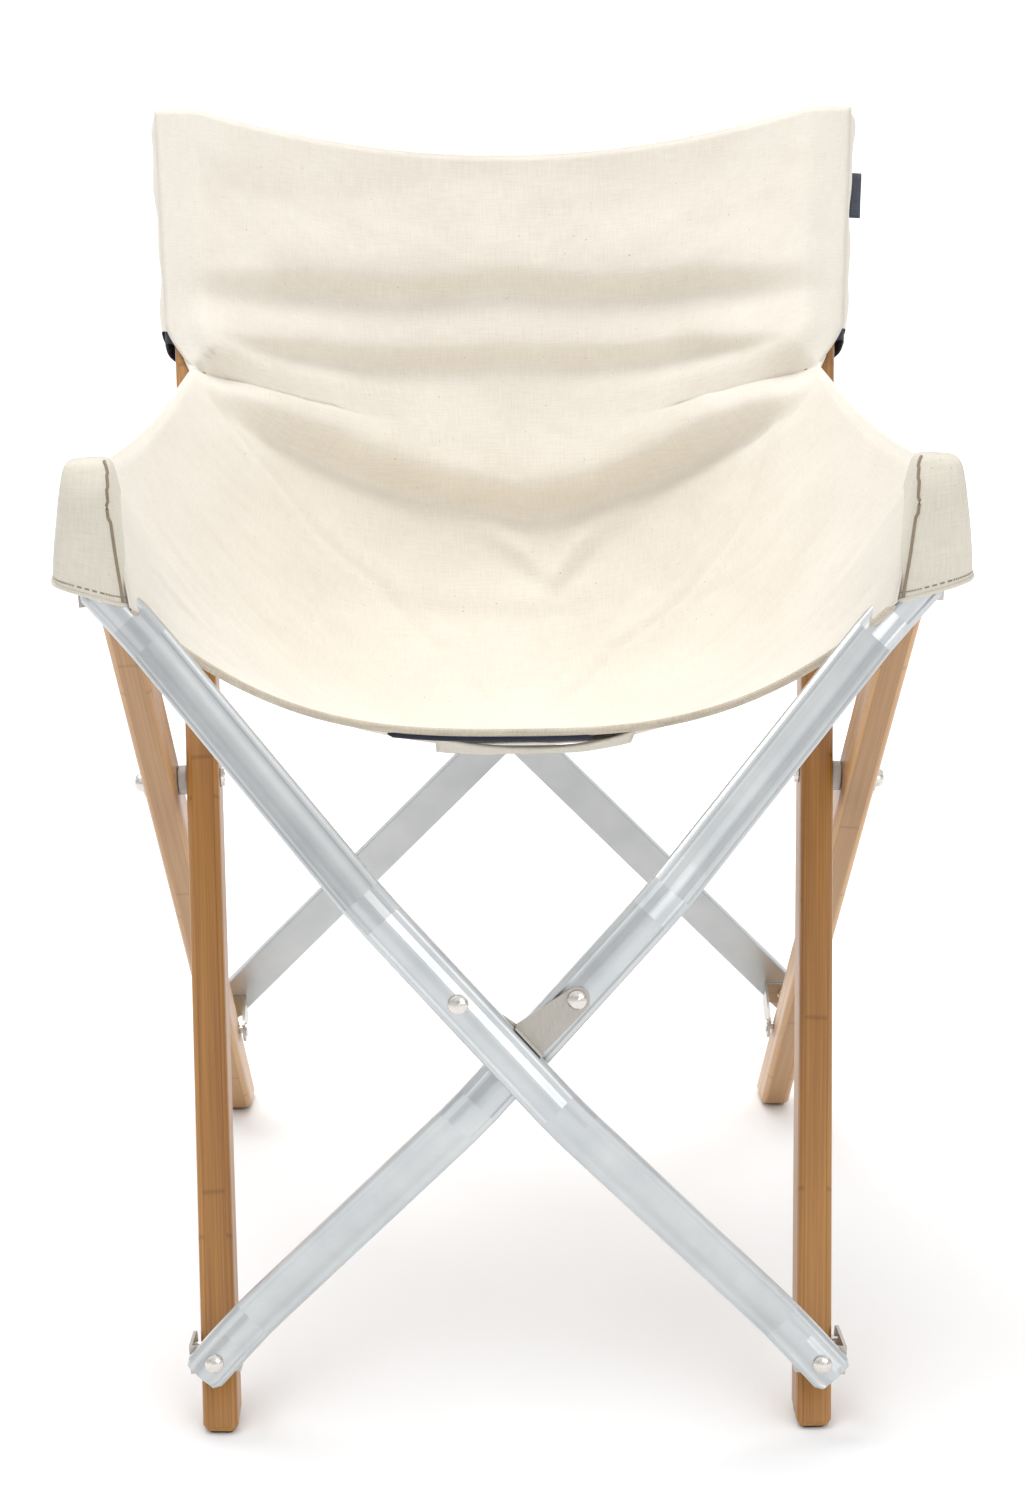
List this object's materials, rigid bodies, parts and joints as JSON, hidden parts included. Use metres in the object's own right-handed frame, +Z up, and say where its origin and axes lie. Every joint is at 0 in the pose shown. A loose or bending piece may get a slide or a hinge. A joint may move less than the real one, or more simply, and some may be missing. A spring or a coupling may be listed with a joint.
{
  "type": "folding camp chair",
  "caption": "Low folding camp chair: bamboo scissor side frames, crossing aluminium channels front and rear, and a canvas seat, back and arm sling.",
  "frame": {"origin": "on the ground, on the centre plane, near the middle of the footprint", "axes": "+Z up, the sitter faces -Y, +X is the right-hand side of a viewer who stands in front and looks along +Y"},
  "size_m": [0.5634, 0.7721, 0.8084],
  "materials": {
    "bamboo_long": "oiled laminated bamboo",
    "bamboo_short": "oiled laminated bamboo, paler",
    "aluminium": "satin anodised",
    "steel": "brushed",
    "rivet_steel": "polished",
    "spacer_plastic": "matt",
    "glide_plastic": "matt",
    "canvas": "natural cotton canvas",
    "tag_fabric": "woven"
  },
  "bodies": {
    "front_link": {"front_link_plate": "steel", "front_link_rivet_a": "rivet_steel", "front_link_rivet_b": "rivet_steel", "canvas_sling": "canvas", "canvas_under_layer": "canvas"},
    "front_channel_a": {"front_channel_a": "aluminium", "right_front_lower_rivet": "rivet_steel", "left_front_upper_rivet": "rivet_steel"},
    "front_channel_b": {"front_channel_b": "aluminium", "left_front_lower_rivet": "rivet_steel", "right_front_upper_rivet": "rivet_steel"},
    "rear_channel_a": {"rear_channel_a": "aluminium", "right_rear_lower_rivet": "rivet_steel", "left_rear_upper_rivet": "rivet_steel", "rear_pivot_rivet": "rivet_steel"},
    "rear_channel_b": {"rear_channel_b": "aluminium", "left_rear_lower_rivet": "rivet_steel", "right_rear_upper_rivet": "rivet_steel"},
    "right_front_lower": {"right_front_lower_bracket": "steel", "right_front_lower_pin": "rivet_steel"},
    "right_long": {"right_long_leg": "bamboo_long", "right_front_glide": "glide_plastic", "right_post_sleeve": "canvas", "right_side_bolt": "rivet_steel", "right_side_spacer": "spacer_plastic", "right_side_dome_nut": "rivet_steel", "canvas_side_tag": "tag_fabric"},
    "right_short": {"right_short_leg": "bamboo_short", "right_rear_glide": "glide_plastic", "right_arm_pocket": "canvas"},
    "right_rear_lower": {"right_rear_lower_bracket": "steel", "right_rear_lower_pin": "rivet_steel"},
    "right_front_upper": {"right_front_upper_bracket": "steel", "right_front_upper_outer_stud": "rivet_steel", "right_front_upper_inner_stud": "rivet_steel"},
    "right_rear_upper": {"right_rear_upper_bracket": "steel", "right_rear_upper_outer_stud": "rivet_steel", "right_rear_upper_inner_stud": "rivet_steel"},
    "left_front_lower": {"left_front_lower_bracket": "steel", "left_front_lower_pin": "rivet_steel"},
    "left_long": {"left_long_leg": "bamboo_long", "left_front_glide": "glide_plastic", "left_post_sleeve": "canvas", "left_side_bolt": "rivet_steel", "left_side_spacer": "spacer_plastic", "left_side_dome_nut": "rivet_steel"},
    "left_short": {"left_short_leg": "bamboo_short", "left_rear_glide": "glide_plastic", "left_arm_pocket": "canvas"},
    "left_rear_lower": {"left_rear_lower_bracket": "steel", "left_rear_lower_pin": "rivet_steel"},
    "left_front_upper": {"left_front_upper_bracket": "steel", "left_front_upper_outer_stud": "rivet_steel", "left_front_upper_inner_stud": "rivet_steel"},
    "left_rear_upper": {"left_rear_upper_bracket": "steel", "left_rear_upper_outer_stud": "rivet_steel", "left_rear_upper_inner_stud": "rivet_steel"}
  },
  "joints": [
    {"name": "front_channel_a_fold", "type": "hinge", "parent": "front_link", "child": "front_channel_a", "pos_m": [-0.0355, -0.36844, 0.31017], "axis": [0, 0.9946, -0.1034], "range_deg": [0, 31.26], "deforming": ["canvas_sling", "canvas_under_layer"]},
    {"name": "front_channel_b_fold", "type": "hinge", "parent": "front_link", "child": "front_channel_b", "pos_m": [0.0355, -0.36844, 0.31017], "axis": [0, -0.9946, 0.1034], "range_deg": [0, 31.27]},
    {"name": "right_front_lower_rivet_turn", "type": "hinge", "parent": "front_channel_a", "child": "right_front_lower", "pos_m": [0.19181, -0.29955, 0.05031], "axis": [0, -0.9946, 0.1034], "range_deg": [0, 31.27]},
    {"name": "right_front_lower_pin_turn", "type": "hinge", "parent": "right_front_lower", "child": "right_long", "pos_m": [0.19181, -0.25379, 0.04556], "axis": [0.9981, 0, -0.0616], "range_deg": [0, 23.46]},
    {"name": "right_side_pivot", "type": "hinge", "parent": "right_long", "child": "right_short", "pos_m": [0.22597, -0.01002, 0.3613], "axis": [0.9981, 0, -0.0616], "range_deg": [-66.04, 0]},
    {"name": "right_rear_lower_pin_turn", "type": "hinge", "parent": "right_short", "child": "right_rear_lower", "pos_m": [0.22354, 0.29163, 0.08413], "axis": [0.9981, 0, -0.0616], "range_deg": [0, 22.97]},
    {"name": "right_rear_lower_rivet_turn", "type": "hinge", "parent": "right_rear_lower", "child": "rear_channel_a", "pos_m": [0.22354, 0.33863, 0.09796], "axis": [0, 0.9593, 0.2823], "range_deg": [0, 31.15]},
    {"name": "right_front_upper_rivet_turn", "type": "hinge", "parent": "front_channel_b", "child": "right_front_upper", "pos_m": [0.25122, -0.23546, 0.53615], "axis": [0, 0.9946, -0.1034], "range_deg": [0, 31.27]},
    {"name": "right_rear_upper_rivet_turn", "type": "hinge", "parent": "rear_channel_b", "child": "right_rear_upper", "pos_m": [0.22385, 0.18419, 0.57503], "axis": [0, 0.9593, 0.2823], "range_deg": [0, 31.15]},
    {"name": "left_front_lower_rivet_turn", "type": "hinge", "parent": "front_channel_b", "child": "left_front_lower", "pos_m": [-0.19181, -0.28612, 0.04892], "axis": [0, 0.9946, -0.1034], "range_deg": [0, 31.27]},
    {"name": "left_front_lower_pin_turn", "type": "hinge", "parent": "left_front_lower", "child": "left_long", "pos_m": [-0.19181, -0.25379, 0.04556], "axis": [0.9981, 0, 0.0616], "range_deg": [0, 23.46]},
    {"name": "left_side_pivot", "type": "hinge", "parent": "left_long", "child": "left_short", "pos_m": [-0.22597, -0.01002, 0.3613], "axis": [0.9981, 0, 0.0616], "range_deg": [-66.04, 0]},
    {"name": "left_rear_lower_pin_turn", "type": "hinge", "parent": "left_short", "child": "left_rear_lower", "pos_m": [-0.22354, 0.29163, 0.08413], "axis": [0.9981, 0, 0.0616], "range_deg": [0, 22.97]},
    {"name": "left_rear_lower_rivet_turn", "type": "hinge", "parent": "left_rear_lower", "child": "rear_channel_b", "pos_m": [-0.22354, 0.32568, 0.09415], "axis": [0, -0.9593, -0.2823], "range_deg": [0, 31.15]},
    {"name": "left_front_upper_rivet_turn", "type": "hinge", "parent": "front_channel_a", "child": "left_front_upper", "pos_m": [-0.25122, -0.24889, 0.53755], "axis": [0, -0.9946, 0.1034], "range_deg": [0, 31.27]},
    {"name": "left_rear_upper_rivet_turn", "type": "hinge", "parent": "rear_channel_a", "child": "left_rear_upper", "pos_m": [-0.22385, 0.19714, 0.57884], "axis": [0, -0.9593, -0.2823], "range_deg": [0, 31.15]}
  ],
  "couplings": [
    {"joint": "front_channel_b_fold", "follows": "front_channel_a_fold", "ratio": 1},
    {"joint": "right_front_lower_rivet_turn", "follows": "front_channel_a_fold", "ratio": 1},
    {"joint": "right_front_lower_pin_turn", "follows": "front_channel_a_fold", "ratio": 0.75026},
    {"joint": "right_side_pivot", "follows": "front_channel_a_fold", "ratio": -2.1116},
    {"joint": "right_rear_lower_pin_turn", "follows": "front_channel_a_fold", "ratio": 0.73452},
    {"joint": "right_rear_lower_rivet_turn", "follows": "front_channel_a_fold", "ratio": 0.996},
    {"joint": "right_front_upper_rivet_turn", "follows": "front_channel_a_fold", "ratio": 1},
    {"joint": "right_rear_upper_rivet_turn", "follows": "front_channel_a_fold", "ratio": 0.996},
    {"joint": "left_front_lower_rivet_turn", "follows": "front_channel_a_fold", "ratio": 1},
    {"joint": "left_front_lower_pin_turn", "follows": "front_channel_a_fold", "ratio": 0.75026},
    {"joint": "left_side_pivot", "follows": "front_channel_a_fold", "ratio": -2.1116},
    {"joint": "left_rear_lower_pin_turn", "follows": "front_channel_a_fold", "ratio": 0.73452},
    {"joint": "left_rear_lower_rivet_turn", "follows": "front_channel_a_fold", "ratio": 0.996},
    {"joint": "left_front_upper_rivet_turn", "follows": "front_channel_a_fold", "ratio": 1},
    {"joint": "left_rear_upper_rivet_turn", "follows": "front_channel_a_fold", "ratio": 0.996}
  ]
}
